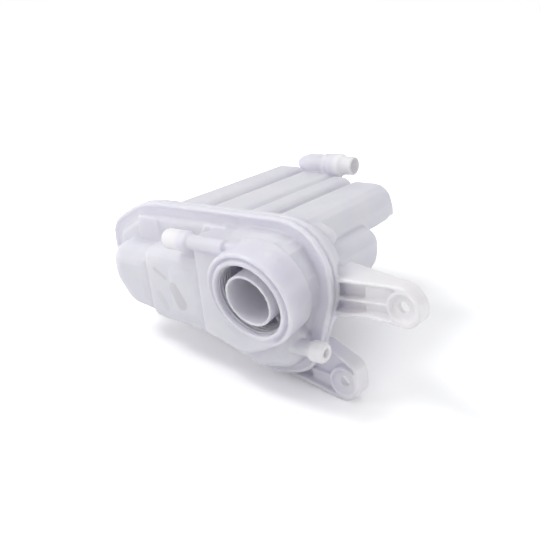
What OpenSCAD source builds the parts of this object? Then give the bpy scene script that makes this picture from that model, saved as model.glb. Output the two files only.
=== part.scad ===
// Coolant expansion tank with an open filler neck.
// Two moulded half shells are welded at a ridged flange: the cap side above it, the deep chambers below it.
// Millimetres. The origin is where the filler neck's axis meets the weld plane, and +Z is the cap side.

/* [Flange] */
// Reach of the flange from the neck to its far end
flange_left = 154; // [150:1:164]
// Reach of the flange from the neck to its round end
flange_right = 38.5; // [37:0.5:44]
// Reach of the flange from the neck to its straight edge
flange_top = 36.5; // [35.5:0.5:40]
// Reach of the flange from the neck to its low corner
flange_bottom = 70; // [68:1:76]
// Thickness of each half's flange
flange_t = 3; // [2.4:0.2:4]
// Width of the flange outside the body's wall
flange_w = 8; // [6:0.5:9]
// Height of the bead along the flange's edge
bead_h = 1.2; // [0.6:0.2:2]
// Width of the bead
bead_w = 1.8; // [1.2:0.2:2.6]
// Wall of the moulding
wall = 2.6; // [2:0.2:3.2]

/* [Cap side] */
// Height of the recessed shelf beside the nipple
shelf_h = 7; // [6:0.5:9]
// Height of the front lobes at the far end
front_h = 27; // [24:0.5:30]
// Height of the flat front round the neck
block_h = 31; // [29:0.5:33]
// Edge of the flat front, from the neck
block_left = 45.5; // [42:0.5:50]
// Rounding of the shoulder round the neck
shoulder_r = 19; // [14:0.5:22]

/* [Filler neck] */
// Lean of the neck away from the straight edge, in degrees
neck_tilt = 9; // [0:0.5:12]
// Height of the neck's mouth, along its axis
neck_h = 36.4; // [34:0.2:42]
// Radius inside the cap's thread
mouth_r = 24; // [22:0.5:25.5]
// Wall of the neck
neck_wall = 3.4; // [2.6:0.2:4]
// Outer radius of the collar round the neck
collar_r = 31.6; // [31:0.2:34]
// Outer radius of the valve tube inside the neck
tube_r = 17; // [14:0.5:18]
// Wall of the valve tube
tube_wall = 1.7; // [1.2:0.1:2.4]
// Depth of the valve tube, from the mouth
tube_l = 30; // [24:1:34]

/* [Hose nipples] */
// Outer radius of the two vent nipples
nipple_r = 4.9; // [4:0.1:5.5]
// Radius of the nipples' barbed end
barb_r = 6.6; // [6:0.1:7.5]
// Bore radius of the nipples
nipple_bore = 2.8; // [2:0.1:3.4]
// Length of the nipple beside the shelf
nipple_1_l = 50; // [47:1:54]
// Length of the nipple above the second ear
nipple_2_l = 32; // [28:1:36]
// Outer radius of the large pipe's open end
pipe_r = 7; // [6.4:0.1:8]
// Radius of the collar on the large pipe
pipe_collar_r = 8.4; // [8.2:0.1:9.6]
// Bore radius of the large pipe
pipe_bore = 5.6; // [4.6:0.1:5.8]
// Length of the large pipe
pipe_l = 51; // [48:1:55]

/* [Chambers] */
// Depth of the two long chambers
deep = 138; // [120:1:150]
// Depth of the third chamber
third_deep = 123; // [110:1:130]
// Depth of the round chamber
round_deep = 117; // [105:1:120]
// Depth of the side chamber
side_deep = 81; // [70:1:100]
// Depth of the tray that the chambers grow from
tray_deep = 11; // [9:0.5:14]
// Depth of the tray's round end
drum_deep = 26; // [20:1:34]
// Draft of the chambers, as a share of their depth
draft = 0.012; // [0.005:0.001:0.02]

/* [Ears] */
// Radius of the ears' round ends
ear_r = 12.4; // [12:0.2:15]
// Depth of the ears at their round ends
ear_h = 12; // [11:0.5:14]
// Thickness of the ears' edge wall and web
ear_wall = 2.4; // [2:0.2:3]
// Radius of the bolt holes
bolt_r = 3.3; // [2.8:0.1:3.6]
// Outer radius of the bosses
boss_r = 10.2; // [9.6:0.2:11]
// Radius of the grommet seats
seat_r = 8; // [6.5:0.1:8.4]

/* [Hidden] */
$fn = 64;
shade = [0.80, 0.80, 0.86];
lower_shade = [0.86, 0.86, 0.90];
lap = 0.6;
fine_steps = 4;
plain_steps = 2;
fine_turn = 22.5;
plain_turn = 30;
wide_turn = 15;
wide_r = 20;
ear_1 = [80.3, -9.6];
ear_2 = [36.6, -68];
ear_top = -1.5;
flange_edge = [
    [-flange_left, 17, 18],
    [-flange_left, -14, 26],
    [15 - flange_left, -36, 32],
    [-58, 22.5 - flange_bottom, 40],
    [-12, -flange_bottom - 1, 22],
    [20, 8 - flange_bottom, 24],
    [flange_right, -10, 38],
    [flange_right, flange_top, flange_top],
    [36 - flange_left, flange_top, 60]
];
tray_in = 0.8;
tray_edge = pulled(flange_edge, flange_w + tray_in);

function unit(v) = v / norm(v);
function outward(a, b) = let (e = unit(b - a)) [e.y, -e.x];
function flat_point(c) = [c.x, c.y];
function before(list, i) = list[(i + len(list) - 1) % len(list)];
function after(list, i) = list[(i + 1) % len(list)];
function side_in(edge, i) = outward(flat_point(before(edge, i)), flat_point(edge[i]));
function side_out(edge, i) = outward(flat_point(edge[i]), flat_point(after(edge, i)));
function mitre(n, m) = (n + m) / (1 + n * m);
function angle_of(n) = atan2(n.y, n.x);
function turn(n, m) = (angle_of(m) - angle_of(n) + 900) % 360 - 180;
function way(n, m) = turn(n, m) < 0 ? -1 : 1;

// Corners of an outline, counterclockwise and each with a radius, moved inwards by a distance
function pulled(edge, by) = [
    for (i = [0:len(edge) - 1])
        let (n = side_in(edge, i))
        let (m = side_out(edge, i))
        let (p = flat_point(edge[i]) - by * mitre(n, m))
        [p.x, p.y, max(edge[i].z - way(n, m) * by, 0.5)]
];

// Points of a rounded outline, moved inwards by a distance, with as many points at every distance
function ring(edge, by = 0, step = fine_turn) = [
    for (i = [0:len(edge) - 1])
        let (n = side_in(edge, i))
        let (m = side_out(edge, i))
        let (s = way(n, m))
        let (r = s > 0 ? max(edge[i].z, by + 0.3) : edge[i].z)
        let (centre = flat_point(edge[i]) - s * r * mitre(n, m))
        let (part = edge[i].z > wide_r ? min(step, wide_turn) : step)
        let (steps = max(1, ceil(abs(turn(n, m)) / part)))
        for (k = [0:steps])
            let (a = angle_of(n) + turn(n, m) * k / steps)
            centre + (s * r - by) * [cos(a), sin(a)]
];

// Heights and inward steps of a drafted wall that ends in a rounded nose
function nose_levels(foot, top, r, steps) = concat(
    [[foot, 0]],
    [
        for (k = [0:steps])
            let (a = 90 * k / steps)
            [top - r + r * sin(a), draft * (top - r - foot) + r * (1 - cos(a))]
    ]
);

// Solid that follows a rounded outline up through levels of height and inward step
module moulded(edge, levels, step) {
    rings = [for (level = levels) [for (p = ring(edge, level[1], step)) [p.x, p.y, level[0]]]];
    count = len(rings[0]);
    points = [for (r = rings) for (p = r) p];
    last = (len(rings) - 1) * count;
    sides = [
        for (j = [0:len(rings) - 2])
            for (i = [0:count - 1])
                let (n = (i + 1) % count)
                [j * count + i, (j + 1) * count + i, (j + 1) * count + n, j * count + n]
    ];
    floor_face = [for (i = [0:count - 1]) i];
    top_face = [for (i = [count - 1:-1:0]) last + i];
    polyhedron(points = points, faces = concat([floor_face], sides, [top_face]));
}

// A lobe is an outline, a foot, a height and a nose radius. Inset by the wall, it is the space inside
module lobe(spec, inset = 0) {
    inner = inset > 0;
    foot = inner ? -lap : spec[1];
    steps = inner ? plain_steps : fine_steps;
    levels = nose_levels(foot, spec[2] - inset, max(spec[3] - inset, 1), steps);
    moulded(pulled(spec[0], inset), levels, inner ? plain_turn : fine_turn);
}

// Flat plate with a rounded outline
module plate(edge, from, to, by = 0) {
    translate([0, 0, from])
        linear_extrude(to - from)
            polygon(ring(edge, by));
}

wall_right = flange_right - flange_w;
wall_top = flange_top - flange_w;
lip_h = 0.9;
lip_in = 1.8;

// Outline, foot, height and nose radius of each lobe on the cap side
upper_lobes = [
    [tray_edge, 0, shelf_h, 4],
    [[[-121, 8, 3], [-100, 8, 3], [-100, 27, 3], [-121, 27, 3]], 1.1, shelf_h + 0.9, 1],
    [[[-138, 10, 14], [-138, -16, 18], [-124, -35, 18], [-92, -39, 8], [-92, 10, 8]], 1, front_h - 0.5, 12],
    [[[-101.5, 13, 10], [-101.5, -40, 10], [6 - block_left, -43, 6], [6 - block_left, 13, 6]], 1.2, front_h + 0.2, 9],
    [[[-80.5, 9, 12], [-80.5, -37, 12], [4 - block_left, -39, 6], [4 - block_left, 9, 6]], 1.4, front_h + 1.5, 10],
    [
        [
            [-block_left, wall_top - 0.5, 4],
            [-block_left, -37, 4],
            [-12, -46, 16],
            [12, -36, 18],
            [25, -12, 16],
            [25, wall_top - 3, 16]
        ],
        0.8, block_h, 3
    ],
    [[[-34, wall_top, 12], [-34, -23, 12], [wall_right, -23, 20], [wall_right, wall_top, 31]], 0.6, block_h, shoulder_r],
    [
        [[-40, -20, 8], [-38, -54, 10], [-10, -63, 14], [13, -56, 12], [22, -34, 10], [10, -20, 8]],
        0.5, block_h - 10, 12
    ],
    [[[-60, 17, 3], [-30, 17, 3], [-28, wall_top - 2, 3], [-36, wall_top + 0.4, 3], [-52, wall_top + 0.4, 3]],
        1.3, shelf_h + 5, 2]
];

// Outline, foot, depth and nose radius of each lobe on the chamber side
lower_lobes = [
    [tray_edge, 0, tray_deep, 6],
    [
        [
            [-26, wall_top, 12],
            [-26, -44, 14],
            [12, -48, 16],
            [26, -34, 14],
            [wall_right, -8, 18],
            [wall_right, wall_top, wall_top]
        ],
        1, drum_deep, 12
    ],
    [[[-114, 30.5, 12], [-114, -28, 16], [-78.5, -34, 8], [-78.5, 30.5, 9]], 1.2, deep, 5],
    [[[-80, 30, 9], [-80, -38, 8], [-42.5, -44, 8], [-42.5, 30, 9]], 1.4, deep, 5],
    [[[-48, 29, 8], [-48, -42, 8], [-25, -46, 8], [-25, 29, 9]], 1.6, third_deep, 5],
    [[[-27, 28.2, 10], [-27, -4, 10], [12, -4, 14], [12, 28.2, 15]], 1.8, round_deep, 5],
    [[[-20, 8, 8], [-20, -44, 12], [2, -42, 14], [21, -16, 16], [25.2, 10, 14], [0, 10, 14]], 2, side_deep, 10],
    [[[2, 27.4, 5], [2, 8, 5], [20, 8, 6], [19, 19, 6]], 1.5, drum_deep + 9, 5]
];

module skin(lobes, inset = 0) {
    for (spec = lobes)
        lobe(spec, inset);
}

// Half of the flange: its lip with a bead on it, and the narrower land that is welded
module flange_half() {
    plate(flange_edge, lip_h, flange_t + lip_h);
    plate(flange_edge, 0, lip_h + 0.2, lip_in);
    difference() {
        plate(flange_edge, flange_t, flange_t + lip_h + bead_h, 0.5);
        plate(flange_edge, flange_t - lap, flange_t + lip_h + bead_h + lap, 0.5 + bead_w);
    }
}

// Hollow half shell with its flange
module half_shell(lobes) {
    difference() {
        union() {
            skin(lobes);
            flange_half();
        }
        skin(lobes, wall);
    }
}

module on_neck() {
    rotate([neck_tilt, 0, 0])
        children();
}

neck_foot = 15;
ring_fn = 72;
root_fn = 28;
groove_in = mouth_r + neck_wall;
groove_out = collar_r - 2.6;
groove_deep = 3;

// Collar and thread wall, with the groove between them
module neck_ring() {
    rotate_extrude($fn = ring_fn)
        polygon([
            [mouth_r - 3, neck_foot],
            [collar_r, neck_foot],
            [collar_r, neck_h - 1.4],
            [collar_r - 0.8, neck_h - 0.6],
            [groove_out + 0.4, neck_h - 0.6],
            [groove_out, neck_h - 1],
            [groove_out, neck_h - groove_deep],
            [groove_in, neck_h - groove_deep],
            [groove_in - 0.4, neck_h - 0.8],
            [groove_in - 1.2, neck_h],
            [mouth_r - 3, neck_h]
        ]);
}

// Space inside the thread wall, with the lead at the mouth
module neck_space() {
    rotate_extrude($fn = ring_fn)
        polygon([
            [0, neck_foot - 4],
            [mouth_r, neck_foot - 4],
            [mouth_r, neck_h - 0.6],
            [mouth_r + 0.8, neck_h + 0.2],
            [mouth_r + 0.8, neck_h + 4],
            [0, neck_h + 4]
        ]);
}

web_t = 2;
web_top = 22;
tube_top = neck_h - 0.8;

// The four webs that carry the valve tube
module tube_webs() {
    for (a = [20:90:290])
        rotate([0, 0, a])
            translate([tube_r - tube_wall / 2, -web_t / 2, neck_foot + 1])
                cube([mouth_r - tube_r + 2, web_t, web_top - neck_foot - 1]);
}

// Valve tube with its two windows
module valve_tube() {
    difference() {
        translate([0, 0, tube_top - tube_l])
            cylinder(r = tube_r, h = tube_l);
        for (a = [-20, 60])
            rotate([0, 0, a])
                translate([tube_r - tube_wall - 4, -4, tube_top - tube_l + 8])
                    cube([tube_wall + 8, 8, 9]);
    }
}

// Thicker end of a hose nipple along +X
module nipple_end(from, length) {
    translate([from, 0, 0])
        rotate([0, 90, 0])
            rotate_extrude()
                polygon([
                    [0, 0],
                    [barb_r - 0.8, 0],
                    [barb_r, 1.4],
                    [barb_r, length - from - 2.5],
                    [barb_r - 1.4, length - from],
                    [0, length - from]
                ]);
}

// Plain pipe of a hose nipple along +X
module nipple_root(length) {
    rotate([0, 90, 0])
        cylinder(r = nipple_r, h = length, $fn = root_fn);
}

nipple_1 = [-18, 23.3, 29];
nipple_2 = [6, -40, 14];
end_1 = 21;
port_back = 11;
nipple_port_r = 2.4;
end_2 = 10;

// Cap side in one moulding, up to where its round bores and hose ends are added
module upper_moulding() {
    resize([0, 0, 0]) {
        difference() {
            union() {
                half_shell(upper_lobes);
                on_neck()
                    neck_ring();
                translate(nipple_1)
                    mirror([1, 0, 0])
                        nipple_root(nipple_1_l - end_1 + 2);
                translate(nipple_2)
                    nipple_root(nipple_2_l - end_2 + 2);
            }
            on_neck()
                neck_space();
            translate(nipple_1 - [port_back, 0, nipple_r + 3])
                cylinder(r = nipple_port_r, h = nipple_r + 3, $fn = root_fn);
        }
        on_neck()
            tube_webs();
    }
}

module upper_shell() {
    color(shade)
        difference() {
            union() {
                upper_moulding();
                on_neck()
                    valve_tube();
                translate(nipple_1)
                    mirror([1, 0, 0])
                        nipple_end(nipple_1_l - end_1, nipple_1_l);
                translate(nipple_2)
                    nipple_end(nipple_2_l - end_2, nipple_2_l);
            }
            on_neck()
                translate([0, 0, tube_top - tube_l - lap])
                    cylinder(r = tube_r - tube_wall, h = tube_l + 2 * lap);
            translate(nipple_1 - [port_back - nipple_port_r, 0, 0])
                mirror([1, 0, 0])
                    rotate([0, 90, 0])
                        cylinder(r = nipple_bore, h = nipple_1_l);
            translate(nipple_2 - [4, 0, 0])
                rotate([0, 90, 0])
                    cylinder(r = nipple_bore, h = nipple_2_l + 10);
        }
}

// Outlines of the two ears
ear_slope = 0.38;
step_back = 27;
web_wall = 2.2;
ear_1_edge = [
    [28, -23.5, 2],
    [60, ear_1.y - ear_r + 2, 30],
    [ear_1.x + ear_r - 3, ear_1.y - ear_r, ear_r - 3],
    [ear_1.x + ear_r, ear_1.y + 2, ear_r],
    [ear_1.x + 2, ear_1.y + ear_r + 1, ear_r],
    [28, 1, 2]
];
ear_2_edge = [
    [-14, -70.5, 2],
    [ear_2.x + 3, ear_2.y - ear_r - 1.4, ear_r],
    [ear_2.x + ear_r, ear_2.y - 4, ear_r],
    [ear_2.x + ear_r - 2, ear_2.y + ear_r, ear_r - 4],
    [24, -44.5, 4],
    [6, -44, 4]
];
boss_fn = 40;
rib_t = 2;
seat_deep = 2.4;
seat_floor = 2;
far = 300;
floor_h = 5;
root_floor_h = 9;

// Solid between two depths, each given at the ear's tip and growing towards its root
module wedge(from, to, at, slope) {
    rotate([90, 0, 0])
        linear_extrude(far, center = true)
            polygon([
                [-20, from - slope * (at + 20)],
                [at, from],
                [at + 40, from],
                [at + 40, to],
                [-20, to]
            ]);
}

// The part of a shape that lies on one side of a step across the ear
module side_of(step, toward_tip) {
    intersection() {
        children();
        translate([toward_tip ? step : step - far, -far / 2, -far / 2])
            cube(far);
    }
}

// Ear like a channel: an edge wall all round, a stepped web, a rib and a grommet boss that is open from below
module ear(edge, hole, root, slope) {
    lean = angle_of(root - hole);
    back = ear_top - ear_h;
    step = hole.x - step_back;
    intersection() {
        difference() {
            union() {
                difference() {
                    plate(edge, back - 60, ear_top);
                    plate(edge, ear_top - floor_h, ear_top + lap, ear_wall);
                    plate(edge, back - 70, ear_top - root_floor_h - web_wall, ear_wall);
                    side_of(step, false)
                        plate(edge, ear_top - root_floor_h, ear_top, ear_wall);
                    side_of(step + web_wall, true)
                        plate(edge, back - 60, ear_top - floor_h - web_wall, ear_wall);
                }
                translate([hole.x, hole.y, back - 1])
                    cylinder(r = boss_r, h = ear_h + 1, $fn = boss_fn);
                translate([hole.x, hole.y, ear_top - 40])
                    rotate([0, 0, lean])
                        translate([boss_r - 1, -rib_t / 2, 0])
                            cube([norm(root - hole) - boss_r, rib_t, 38]);
            }
            translate([hole.x, hole.y, ear_top])
                rotate_extrude($fn = boss_fn)
                    polygon([
                        [0, lap],
                        [seat_r + 0.8, lap],
                        [seat_r, -0.6],
                        [seat_r - 0.6, 0.4 - seat_deep],
                        [seat_r - 1.2, -seat_deep],
                        [0, -seat_deep]
                    ]);
            translate([hole.x, hole.y, back - 2])
                cylinder(r = boss_r - web_wall, h = ear_h + 2 - seat_deep - seat_floor, $fn = boss_fn);
        }
        wedge(back, ear_top + lap, hole.x - 6, slope);
    }
}

pipe_at = [-79, 34, -128];
collar_l = 26;

// Root of the large pipe along +X, swelling where it grows from the chamber
module pipe_root() {
    rotate([0, 90, 0])
        rotate_extrude($fn = boss_fn)
            polygon([
                [0, 0],
                [pipe_r - 4, 0],
                [pipe_r - 1.6, 3],
                [pipe_r + 0.6, 10],
                [pipe_r + 0.4, pipe_l - collar_l + 3],
                [0, pipe_l - collar_l + 3]
            ]);
}

// Collar and plain open end of the large pipe
module pipe_end() {
    translate([pipe_l - collar_l, 0, 0])
        rotate([0, 90, 0])
            rotate_extrude()
                polygon([
                    [0, 0],
                    [pipe_r + 0.8, 0],
                    [pipe_collar_r, 1.2],
                    [pipe_collar_r, 3],
                    [pipe_collar_r - 0.6, 3.6],
                    [pipe_collar_r - 0.6, 4.4],
                    [pipe_collar_r, 5],
                    [pipe_collar_r, collar_l - 11],
                    [pipe_collar_r - 1, collar_l - 9.6],
                    [pipe_r, collar_l - 9],
                    [pipe_r, collar_l - 1],
                    [pipe_r - 0.8, collar_l],
                    [0, collar_l]
                ]);
}

lug = [3, 1, -124];
lug_size = [2.4, 9, 14];
port_at = 16;
port_r = 4;
port_deep = 12;

// Chamber side in one moulding, up to where its round bores and the hose end are added
module lower_moulding() {
    resize([0, 0, 0])
        difference() {
            union() {
                mirror([0, 0, 1])
                    half_shell(lower_lobes);
                ear(ear_1_edge, ear_1, [36, -12], ear_slope);
                ear(ear_2_edge, ear_2, [0, -64], 0);
                translate(pipe_at)
                    pipe_root();
                translate(lug)
                    cube(lug_size);
            }
            translate(pipe_at + [port_at, 0, 0])
                rotate([90, 0, 0])
                    cylinder(r = port_r, h = port_deep, $fn = root_fn);
        }
}

module lower_shell() {
    color(lower_shade)
        difference() {
            union() {
                lower_moulding();
                translate(pipe_at)
                    pipe_end();
            }
            translate(pipe_at + [port_at - port_r, 0, 0])
                rotate([0, 90, 0])
                    cylinder(r = pipe_bore, h = pipe_l);
            for (hole = [ear_1, ear_2])
                translate([hole.x, hole.y, ear_top - ear_h - 2])
                    cylinder(r = bolt_r, h = ear_h);
        }
}

upper_shell();
lower_shell();
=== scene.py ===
import math

import bmesh
import bpy
import numpy as np
from mathutils import Matrix, Vector


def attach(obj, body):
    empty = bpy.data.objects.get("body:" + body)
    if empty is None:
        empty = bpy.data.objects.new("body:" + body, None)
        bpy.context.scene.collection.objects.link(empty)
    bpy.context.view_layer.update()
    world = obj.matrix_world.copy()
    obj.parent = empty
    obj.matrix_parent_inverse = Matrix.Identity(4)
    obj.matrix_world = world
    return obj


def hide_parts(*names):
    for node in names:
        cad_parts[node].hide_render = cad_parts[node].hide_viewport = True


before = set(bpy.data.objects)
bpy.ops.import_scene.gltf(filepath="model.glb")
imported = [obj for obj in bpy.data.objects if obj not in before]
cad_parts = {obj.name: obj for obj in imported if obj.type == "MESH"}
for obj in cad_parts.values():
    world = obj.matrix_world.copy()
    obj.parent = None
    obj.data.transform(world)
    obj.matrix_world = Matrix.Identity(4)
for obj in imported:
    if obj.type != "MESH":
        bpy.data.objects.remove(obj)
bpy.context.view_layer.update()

MM = 0.001
BODY = "root"

# Camera of the photograph, in the part's frame
EYE = Vector((266.1, 157.4, 314.0)) * MM
VIEW_BACK = Vector((0.619, 0.352, 0.702))
VIEW_UP = Vector((-0.146, 0.930, -0.338))
LENS = 48
SENSOR = 36
CLIP_START = 0.01
CLIP_END = 20

# The ground under the tank as it lies in the photograph
GROUND_NORMAL = Vector((0.13, 0.99, -0.01)).normalized()
FLOOR_HALF = 2.5

# The floor's colour as seen, and how far from the origin it goes over to plain white
FLOOR_GAIN = 1.25
FLOOR_GREY = 0.80
FLOOR_NEAR = 0.16
FLOOR_FAR = 0.50

# World light
SKY = (0.97, 0.98, 1, 1)
WHITE = (1, 1, 1, 1)
WORLD_LEVEL = 0.42

# Each softbox: its name, the way it lies from the tank as seen in the photograph
# (right, up and back), its distance and size in metres, and its power in watts
SOFTBOXES = (
    ("key", (-0.58, 0.74, 0.34), 1.1, 0.35, 3.8),
    ("left", (-0.86, 0.30, 0.42), 1.1, 0.45, 2.1),
    ("top", (0.10, 0.96, 0.26), 1.1, 0.90, 3.0),
    ("front", (-0.42, -0.12, 0.90), 1.2, 0.60, 2.0),
    ("right", (0.96, -0.10, 0.26), 1.0, 0.70, 4.2),
)

# The point that the softboxes are aimed at
MIDDLE = Vector((-30, -10, -40)) * MM

# Filler neck
NECK_TILT = math.radians(9)
NECK_H = 36.4 * MM
MOUTH_R = 24 * MM
TUBE_R = 17 * MM

# Thread on the inside of the neck's wall. Its root is sunk into the wall,
# its crest is a share of its width, and it fades in and out over some steps
THREAD_PITCH = 2.5 * MM
THREAD_TOP = 34.0 * MM
THREAD_TURNS = 5
THREAD_DEPTH = 1.1 * MM
THREAD_HALF = 0.8 * MM
THREAD_CREST = 0.35
THREAD_SUNK = 0.4 * MM
THREAD_STEPS = 96
THREAD_FADE = 12

# Skins: the grid that a solid is redrawn with, and the rounds of smoothing. Each round
# pulls the points in and then a little further out again, so that nothing shrinks
VOXEL = 0.7 * MM
EDGE_ROUNDS = 2
FLAT_ROUNDS = 16
SMOOTH_IN = 0.5
SMOOTH_OUT = -0.52
MOST_TRIANGLES = 180000

# Bend between neighbouring points below which a surface is flat, and above which it is an edge
FLAT_BEND = 0.008
SHARP_BEND = 0.03

# Colours of the plastic, and the painted light and painted shade put on it
MILK = (0.80, 0.79, 0.865, 1)
MILK_CLOUD = (0.84, 0.83, 0.89, 1)
# Ears: a paler, pinker tint, partly painted light that stands for light through their thin walls
EAR_TINT_AND_PAINTED_LIGHT = (0.89, 0.87, 0.89, 1)
# Painted light: paler colour at the thin open ends, standing for light shining through them
THIN_END_PAINTED_LIGHT = (0.92, 0.90, 0.92, 1)
# Painted shade: a dark brownish grey put deep inside the neck, where shade falls
NECK_PAINTED_SHADE = (0.38, 0.315, 0.305, 1)
PRINT_GREY = (0.60, 0.59, 0.61, 1)

# Clouds in the plastic, its fine grain and its gloss
CLOUD_SCALE = 28.0
CLOUD_DETAIL = 4.0
CLOUD_ROUGH = 0.6
CLOUD_START = 0.35
CLOUD_END = 0.70
GRAIN_SCALE = 900.0
GRAIN_DETAIL = 2.0
GRAIN_STRENGTH = 0.06
GRAIN_DEPTH = 0.4 * MM
ROUGH_LOW = 0.26
ROUGH_HIGH = 0.42

# How light spreads in the plastic and shines through it
PLASTIC_IOR = 1.5
SPREAD_RATIO = (1.0, 0.96, 0.96)
SPREAD_REACH = 5 * MM
SHINE_THROUGH = 0.2

# Where the plastic goes over to the ears' paler tint and painted light, along x
EARS_START = 30 * MM
EARS_FULL = 52 * MM

# Thin open ends, painted lighter to stand for light shining through the thin plastic: the middle
# and the reach of each, and how wide the soft rim of a reach is, in mm
PAINTED_LIGHT_ENDS = (
    ((-33, 34, -128), 15),
    ((34, -40, 14), 11),
    ((-60, 23.3, 29), 11),
)
PAINTED_LIGHT_SOFT = 4

# Painted shade inside the neck: how strong it is in the tube and at the wall, and for each
# side and depth the place where it starts and the place where it is full
TUBE_DIM = 0.05
WALL_DIM = 0.15
TUBE_SIDE = (TUBE_R - 0.7 * MM, TUBE_R - 1.1 * MM)
TUBE_DEPTH = (NECK_H - 4 * MM, NECK_H - 34 * MM)
WALL_SIDE = (MOUTH_R + 0.7 * MM, MOUTH_R + 0.3 * MM)
WALL_OFF_TUBE = (TUBE_R + 1 * MM, TUBE_R + 4 * MM)
WALL_DEPTH = (NECK_H - 5 * MM, NECK_H - 22 * MM)
DIM_FLOOR = (-30 * MM, -26 * MM)

# Plain printed bars on the middle lobe: the ends of each in mm, its half width in mm
# and its strength. They show only above a height
BARS = (
    ((-71.0, -12.5), (-65.0, -22.0), 4.6, 0.55),
    ((-88.0, -1.5), (-79.0, -6.5), 1.5, 0.45),
    ((-87.0, -19.5), (-81.5, -28.5), 2.6, 0.22),
)
PRINT_SOFT = 0.5 * MM
PRINT_HEIGHT = (18 * MM, 22 * MM)


# Sockets of the Mix node for colours: the two that go in and the one that comes out
MIX_IN = (6, 7)
MIX_OUT = 2


def link(piece):
    """Puts an object in the scene."""
    bpy.context.scene.collection.objects.link(piece)
    return piece


def view_axes():
    """The photograph's right, up and back, in the part's frame."""
    back = VIEW_BACK.normalized()
    right = VIEW_UP.cross(back).normalized()
    return right, back.cross(right), back


def on_neck(point):
    """A point of the neck's own frame, in the part's frame."""
    return Matrix.Rotation(NECK_TILT, 3, "X") @ Vector(point)


def make_camera():
    """The camera that took the photograph, worked out from the neck and the straight edges."""
    camera = link(bpy.data.objects.new("camera", bpy.data.cameras.new("camera")))
    turn = Matrix(view_axes()).transposed().to_4x4()
    camera.matrix_world = Matrix.Translation(EYE) @ turn
    camera.data.lens = LENS
    camera.data.sensor_width = SENSOR
    camera.data.clip_start = CLIP_START
    camera.data.clip_end = CLIP_END
    bpy.context.scene.camera = camera


def baked(piece):
    """Applies the piece's modifiers and gives its new mesh."""
    graph = bpy.context.evaluated_depsgraph_get()
    mesh = bpy.data.meshes.new_from_object(piece.evaluated_get(graph))
    piece.modifiers.clear()
    piece.data = mesh
    return mesh


def smooth_shaded(mesh):
    mesh.polygons.foreach_set("use_smooth", [True] * len(mesh.polygons))


def flatness(mesh, a, b, count):
    """1 at points where the mesh is nearly flat, down to 0 at its edges."""
    normals = np.empty(count * 3)
    mesh.vertices.foreach_get("normal", normals)
    normals = normals.reshape(-1, 3)
    bend = 1 - np.einsum("ij,ij->i", normals[a], normals[b])
    most = np.zeros(count)
    np.maximum.at(most, a, bend)
    np.maximum.at(most, b, bend)
    return np.clip((SHARP_BEND - most) / (SHARP_BEND - FLAT_BEND), 0, 1)


def relaxed(mesh, low, high):
    """Evens out a dense mesh without shrinking it, and keeps it between two corners.

    The first rounds soften everything a little, edges too. The others work only where the
    mesh is nearly flat.
    """
    count = len(mesh.vertices)
    points = np.empty(count * 3)
    mesh.vertices.foreach_get("co", points)
    points = points.reshape(-1, 3)
    ends = np.empty(len(mesh.edges) * 2, dtype=np.int32)
    mesh.edges.foreach_get("vertices", ends)
    a, b = ends.reshape(-1, 2).T
    degree = np.bincount(a, minlength=count) + np.bincount(b, minlength=count)
    free = np.ones(count)
    for step in range(EDGE_ROUNDS + FLAT_ROUNDS):
        if step == EDGE_ROUNDS:
            mesh.vertices.foreach_set("co", points.ravel())
            mesh.update()
            free = flatness(mesh, a, b, count)
        for share in (SMOOTH_IN, SMOOTH_OUT):
            for axis in range(3):
                line = points[:, axis]
                total = np.bincount(a, line[b], count) + np.bincount(b, line[a], count)
                points[:, axis] = line + share * free * (total / degree - line)
    mesh.vertices.foreach_set("co", np.clip(points, low, high).ravel())
    mesh.update()


def moulded_skin(node, name):
    """A moulded copy of a node, with its edges and inner corners softly rounded."""
    piece = link(bpy.data.objects.new(name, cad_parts[node].data.copy()))
    corners = np.array([v.co for v in piece.data.vertices])
    remesh = piece.modifiers.new("skin", "REMESH")
    remesh.mode = "VOXEL"
    remesh.voxel_size = VOXEL
    mesh = baked(piece)
    relaxed(mesh, corners.min(axis=0), corners.max(axis=0))
    triangles = 2 * len(mesh.polygons)
    if triangles > MOST_TRIANGLES:
        thin = piece.modifiers.new("thin", "DECIMATE")
        thin.ratio = MOST_TRIANGLES / triangles
        mesh = baked(piece)
    smooth_shaded(mesh)
    return piece


def tree_tools(owner):
    """The add and join functions of a material's or world's emptied node tree."""
    owner.use_nodes = True
    tree = owner.node_tree
    tree.nodes.clear()

    def add(kind, **values):
        node = tree.nodes.new(kind)
        for key, value in values.items():
            if hasattr(node, key):
                setattr(node, key, value)
            else:
                node.inputs[key.replace("_", " ")].default_value = value
        return node

    return add, tree.links.new


def math_node(add, join, operation, first, second=0.0):
    """Result of an operation on one or two values, each a number or a socket."""
    node = add("ShaderNodeMath", operation=operation)
    for socket, value in zip(node.inputs, (first, second)):
        if isinstance(value, (int, float)):
            socket.default_value = value
        else:
            join(value, socket)
    return node.outputs[0]


def product(add, join, first, second):
    return math_node(add, join, "MULTIPLY", first, second)


def hypotenuse(add, join, first, second):
    """Square root of the sum of two squares."""
    first = math_node(add, join, "POWER", first, 2.0)
    second = math_node(add, join, "POWER", second, 2.0)
    return math_node(add, join, "SQRT", math_node(add, join, "ADD", first, second))


def ramp(add, join, value, start, end):
    """Smooth step from 0 to 1 as the value goes from start to end."""
    node = add("ShaderNodeMapRange", interpolation_type="SMOOTHSTEP")
    node.inputs["From Min"].default_value = start
    node.inputs["From Max"].default_value = end
    join(value, node.inputs["Value"])
    return node.outputs[0]


def mixed(add, join, factor, first, second):
    """Colour that goes from the first to the second by a factor."""
    node = add("ShaderNodeMix", data_type="RGBA")
    join(factor, node.inputs["Factor"])
    for k, value in zip(MIX_IN, (first, second)):
        if isinstance(value, tuple):
            node.inputs[k].default_value = value
        else:
            join(value, node.inputs[k])
    return node.outputs[MIX_OUT]


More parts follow.
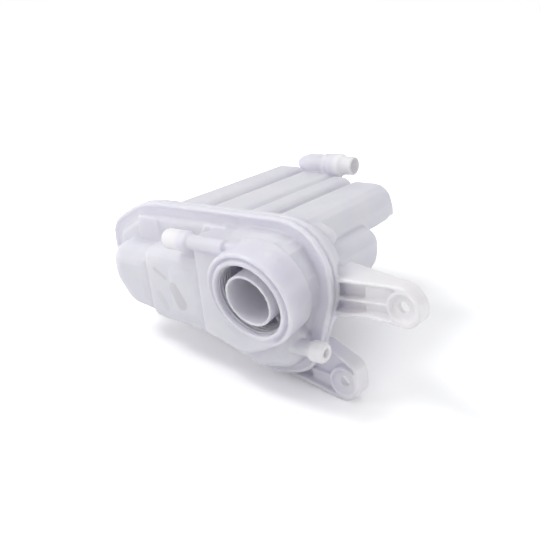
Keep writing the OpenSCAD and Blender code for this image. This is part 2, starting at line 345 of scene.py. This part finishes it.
def shader_mix(add, join, factor, first, second):
    """Shader that goes from the first to the second by a factor."""
    node = add("ShaderNodeMixShader")
    join(factor, node.inputs["Fac"])
    join(first.outputs[0], node.inputs[1])
    join(second.outputs[0], node.inputs[2])
    return node


def apart_in(add, join, place, spot, turn):
    """x, y and z sockets of the place, as seen from a spot with a turned frame."""
    turned = add("ShaderNodeMapping", vector_type="TEXTURE")
    turned.inputs["Location"].default_value = spot
    turned.inputs["Rotation"].default_value = turn
    join(place, turned.inputs["Vector"])
    apart = add("ShaderNodeSeparateXYZ")
    join(turned.outputs[0], apart.inputs[0])
    return apart.outputs


def bar_field(add, join, place, bar):
    """1 inside a bar with round ends that lies on the front of the lobes."""
    (x0, y0), (x1, y1), half, strength = bar
    spot = (0.5 * (x0 + x1) * MM, 0.5 * (y0 + y1) * MM, 0)
    turn = (0, 0, math.atan2(y1 - y0, x1 - x0))
    apart = apart_in(add, join, place, spot, turn)
    reach = 0.5 * math.hypot(x1 - x0, y1 - y0) * MM
    along = math_node(add, join, "ABSOLUTE", apart["X"])
    past = math_node(add, join, "SUBTRACT", along, reach)
    past = math_node(add, join, "MAXIMUM", past, 0.0)
    away = hypotenuse(add, join, past, apart["Y"])
    inside = ramp(add, join, away, half * MM + PRINT_SOFT, half * MM - PRINT_SOFT)
    high = ramp(add, join, apart["Z"], *PRINT_HEIGHT)
    return product(add, join, product(add, join, inside, high), strength)


def neck_painted_shade(add, join, place):
    """How much painted shade there is inside the neck: in the valve tube, and along the wall round
    it.
    """
    apart = apart_in(add, join, place, (0, 0, 0), (NECK_TILT, 0, 0))
    away = hypotenuse(add, join, apart["X"], apart["Y"])
    in_tube = ramp(add, join, away, *TUBE_SIDE)
    tube = product(add, join, in_tube, ramp(add, join, apart["Z"], *TUBE_DEPTH))
    in_wall = ramp(add, join, away, *WALL_SIDE)
    off_tube = ramp(add, join, away, *WALL_OFF_TUBE)
    wall = product(add, join, in_wall, off_tube)
    wall = product(add, join, wall, ramp(add, join, apart["Z"], *WALL_DEPTH))
    tube = product(add, join, tube, TUBE_DIM)
    wall = product(add, join, wall, WALL_DIM)
    above = ramp(add, join, apart["Z"], *DIM_FLOOR)
    return product(add, join, math_node(add, join, "ADD", tube, wall), above)


def milk_colour(add, join, place, cloud):
    """Cloudy milk, printed bars, a paler ear tint, painted light at ears and thin ends, painted
    shade in neck.
    """
    clouds = ramp(add, join, cloud.outputs["Fac"], CLOUD_START, CLOUD_END)
    colour = mixed(add, join, clouds, MILK, MILK_CLOUD)
    apart = add("ShaderNodeSeparateXYZ")
    join(place, apart.inputs[0])
    # Paler ears: partly their tint, partly painted light through their thin walls
    ear_tint_and_light = ramp(add, join, apart.outputs["X"], EARS_START, EARS_FULL)
    colour = mixed(add, join, ear_tint_and_light, colour, EAR_TINT_AND_PAINTED_LIGHT)
    # Painted light at the thin open ends, standing for light through the plastic
    for spot, reach in PAINTED_LIGHT_ENDS:
        away = add("ShaderNodeVectorMath", operation="DISTANCE")
        join(place, away.inputs[0])
        away.inputs[1].default_value = [c * MM for c in spot]
        painted_end_light = ramp(add, join, away.outputs["Value"], reach * MM, (reach - PAINTED_LIGHT_SOFT) * MM)
        colour = mixed(add, join, painted_end_light, colour, THIN_END_PAINTED_LIGHT)
    for bar in BARS:
        colour = mixed(add, join, bar_field(add, join, place, bar), colour, PRINT_GREY)
    # Painted shade deep inside the neck, mixed in by place
    return mixed(add, join, neck_painted_shade(add, join, place), colour, NECK_PAINTED_SHADE)


def milky_plastic():
    """Milky moulded plastic that light enters a little, with a satin gloss and fine grain."""
    material = bpy.data.materials.new("milky_plastic")
    add, join = tree_tools(material)
    place = add("ShaderNodeTexCoord").outputs["Object"]
    cloud = add("ShaderNodeTexNoise", Scale=CLOUD_SCALE, Detail=CLOUD_DETAIL, Roughness=CLOUD_ROUGH)
    join(place, cloud.inputs["Vector"])
    colour = milk_colour(add, join, place, cloud)

    grain = add("ShaderNodeTexNoise", Scale=GRAIN_SCALE, Detail=GRAIN_DETAIL)
    join(place, grain.inputs["Vector"])
    bump = add("ShaderNodeBump", Strength=GRAIN_STRENGTH, Distance=GRAIN_DEPTH)
    join(grain.outputs["Fac"], bump.inputs["Height"])
    gloss = add("ShaderNodeMapRange")
    gloss.inputs["To Min"].default_value = ROUGH_LOW
    gloss.inputs["To Max"].default_value = ROUGH_HIGH
    join(cloud.outputs["Fac"], gloss.inputs["Value"])

    plastic = add("ShaderNodeBsdfPrincipled")
    plastic.inputs["IOR"].default_value = PLASTIC_IOR
    plastic.inputs["Specular IOR Level"].default_value = 0.5
    plastic.inputs["Subsurface Weight"].default_value = 1.0
    plastic.inputs["Subsurface Radius"].default_value = SPREAD_RATIO
    plastic.inputs["Subsurface Scale"].default_value = SPREAD_REACH
    join(colour, plastic.inputs["Base Color"])
    join(gloss.outputs[0], plastic.inputs["Roughness"])
    join(bump.outputs["Normal"], plastic.inputs["Normal"])
    glow = add("ShaderNodeBsdfTranslucent")
    join(colour, glow.inputs["Color"])
    blend = add("ShaderNodeMixShader", Fac=SHINE_THROUGH)
    join(plastic.outputs[0], blend.inputs[1])
    join(glow.outputs[0], blend.inputs[2])
    out = add("ShaderNodeOutputMaterial")
    join(blend.outputs[0], out.inputs["Surface"])
    return material


def seen_rays(add, join):
    """1 for what the camera, a reflection or a see-through piece shows, 0 for light."""
    path = add("ShaderNodeLightPath").outputs
    seen = math_node(add, join, "MAXIMUM", path["Is Camera Ray"], path["Is Glossy Ray"])
    return math_node(add, join, "MAXIMUM", seen, path["Is Transmission Ray"])


def floor_material():
    """White floor with a soft shadow near the tank. Seen from below it isn't there."""
    material = bpy.data.materials.new("floor")
    add, join = tree_tools(material)
    seen = seen_rays(add, join)
    matt = add("ShaderNodeBsdfDiffuse", Color=(FLOOR_GREY, FLOOR_GREY, FLOOR_GREY, 1))
    bright = add("ShaderNodeBsdfDiffuse", Color=(FLOOR_GAIN, FLOOR_GAIN, FLOOR_GAIN, 1))
    place = add("ShaderNodeTexCoord").outputs["Object"]
    away = add("ShaderNodeVectorMath", operation="LENGTH")
    join(place, away.inputs[0])
    white = add("ShaderNodeEmission", Color=WHITE)
    level = ramp(add, join, away.outputs["Value"], FLOOR_NEAR, FLOOR_FAR)
    join(level, white.inputs["Strength"])
    both = add("ShaderNodeAddShader")
    join(bright.outputs[0], both.inputs[0])
    join(white.outputs[0], both.inputs[1])
    front = shader_mix(add, join, seen, matt, both)
    below = add("ShaderNodeNewGeometry").outputs["Backfacing"]
    side = shader_mix(add, join, below, front, add("ShaderNodeBsdfTransparent"))
    out = add("ShaderNodeOutputMaterial")
    join(side.outputs[0], out.inputs["Surface"])
    return material


def make_floor():
    """The ground that the tank lies on in the photograph, touching its lowest point."""
    corners = (v.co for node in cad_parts.values() for v in node.data.vertices)
    low = min(GROUND_NORMAL.dot(corner) for corner in corners)
    mesh = bpy.data.meshes.new("floor")
    grid = bmesh.new()
    bmesh.ops.create_grid(grid, x_segments=1, y_segments=1, size=FLOOR_HALF)
    grid.to_mesh(mesh)
    grid.free()
    floor = link(bpy.data.objects.new("floor", mesh))
    turn = GROUND_NORMAL.to_track_quat("Z", "Y").to_matrix().to_4x4()
    floor.matrix_world = Matrix.Translation(GROUND_NORMAL * low) @ turn
    mesh.materials.append(floor_material())


def make_world():
    """Plain white where it is seen, and a low even light elsewhere."""
    world = bpy.data.worlds.new("studio")
    bpy.context.scene.world = world
    add, join = tree_tools(world)
    soft = add("ShaderNodeBackground", Color=SKY, Strength=WORLD_LEVEL)
    white = add("ShaderNodeBackground", Color=WHITE, Strength=1)
    mix = shader_mix(add, join, seen_rays(add, join), soft, white)
    out = add("ShaderNodeOutputWorld")
    join(mix.outputs[0], out.inputs["Surface"])


def make_lights():
    """Soft round lamps that stand round the tank as the photograph's light does."""
    right, up, back = view_axes()
    for name, way, distance, size, power in SOFTBOXES:
        toward = (right * way[0] + up * way[1] + back * way[2]).normalized()
        lamp = bpy.data.lights.new(name, "AREA")
        lamp.shape = "DISK"
        lamp.size = size
        lamp.energy = power
        box = link(bpy.data.objects.new(name, lamp))
        box.location = MIDDLE + toward * distance
        box.rotation_mode = "QUATERNION"
        box.rotation_quaternion = toward.to_track_quat("Z", "Y")


def thread_row(build, k, steps):
    """The four corners of the thread's profile at one step, lower towards its ends."""
    angle = 2 * math.pi * k / THREAD_STEPS
    rise = THREAD_TOP - THREAD_PITCH * k / THREAD_STEPS
    swell = min(1, k / THREAD_FADE, (steps - k) / THREAD_FADE)
    root = MOUTH_R + THREAD_SUNK
    crest = MOUTH_R - THREAD_DEPTH * swell
    crest_half = THREAD_CREST * THREAD_HALF
    profile = (
        (root, THREAD_HALF),
        (crest, crest_half),
        (crest, -crest_half),
        (root, -THREAD_HALF),
    )
    around = math.cos(angle), math.sin(angle)
    corners = (on_neck((r * around[0], r * around[1], rise + h)) for r, h in profile)
    return [build.verts.new(corner) for corner in corners]


def neck_thread(material):
    """Fine thread that runs round the inside of the neck's wall."""
    mesh = bpy.data.meshes.new("neck_thread")
    build = bmesh.new()
    steps = THREAD_TURNS * THREAD_STEPS
    rows = [thread_row(build, k, steps) for k in range(steps + 1)]
    for one, two in zip(rows, rows[1:]):
        for i in range(len(one)):
            j = (i + 1) % len(one)
            build.faces.new((one[i], one[j], two[j], two[i]))
    build.faces.new(reversed(rows[0]))
    build.faces.new(rows[-1])
    bmesh.ops.recalc_face_normals(build, faces=build.faces)
    build.to_mesh(mesh)
    build.free()
    smooth_shaded(mesh)
    piece = link(bpy.data.objects.new("neck_thread", mesh))
    mesh.materials.append(material)
    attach(piece, BODY)


def make_tank():
    """The two moulded halves as skins that stand for their nodes, and the thread."""
    plastic = milky_plastic()
    for node, slot in (("upper_shell", "cap_side_plastic"), ("lower_shell", "chamber_plastic")):
        piece = moulded_skin(node, node + "_skin")
        piece.data.materials.clear()
        piece.data.materials.append(plastic)
        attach(piece, BODY)
        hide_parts(node)
    neck_thread(plastic)


bpy.context.scene.view_settings.view_transform = "Standard"
make_camera()
make_world()
make_lights()
make_tank()
make_floor()
